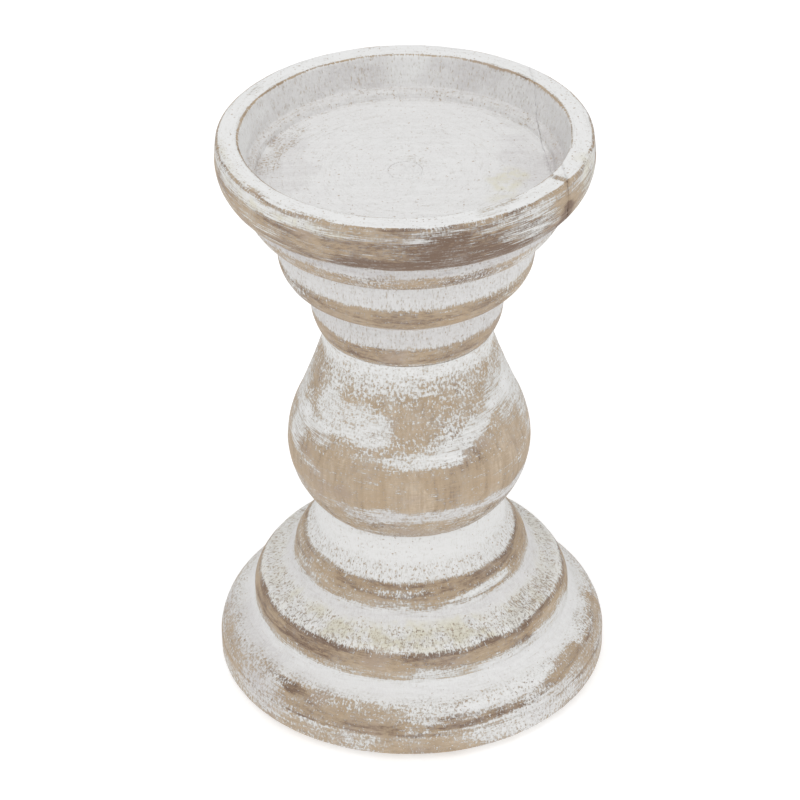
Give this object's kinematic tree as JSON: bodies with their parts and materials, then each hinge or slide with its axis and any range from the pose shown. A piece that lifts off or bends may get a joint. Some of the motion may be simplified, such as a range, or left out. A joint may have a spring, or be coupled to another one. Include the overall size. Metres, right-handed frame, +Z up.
{
  "type": "candlestick",
  "caption": "Turned wooden pillar candlestick with a round dish on a baluster stem and a stepped base, in rubbed white paint.",
  "frame": {"origin": "centre of the underside of the felt, on the surface that the candlestick stands on", "axes": "+Z up the turning axis to the dish; the glued board is towards +X"},
  "size_m": [0.1326, 0.1326, 0.203],
  "materials": {
    "whitewashed_wood": "chalky white paint rubbed through to tan wood on the edges",
    "screw_steel": "zinc plated",
    "base_felt": "pressed wool felt"
  },
  "bodies": {
    "root": {"cup_main_board": "whitewashed_wood", "cup_side_board": "whitewashed_wood", "cup_screw_plug": "whitewashed_wood", "stem": "whitewashed_wood", "base": "whitewashed_wood", "cup_screw": "screw_steel", "base_screw": "screw_steel", "base_felt": "base_felt"}
  },
  "joints": []
}
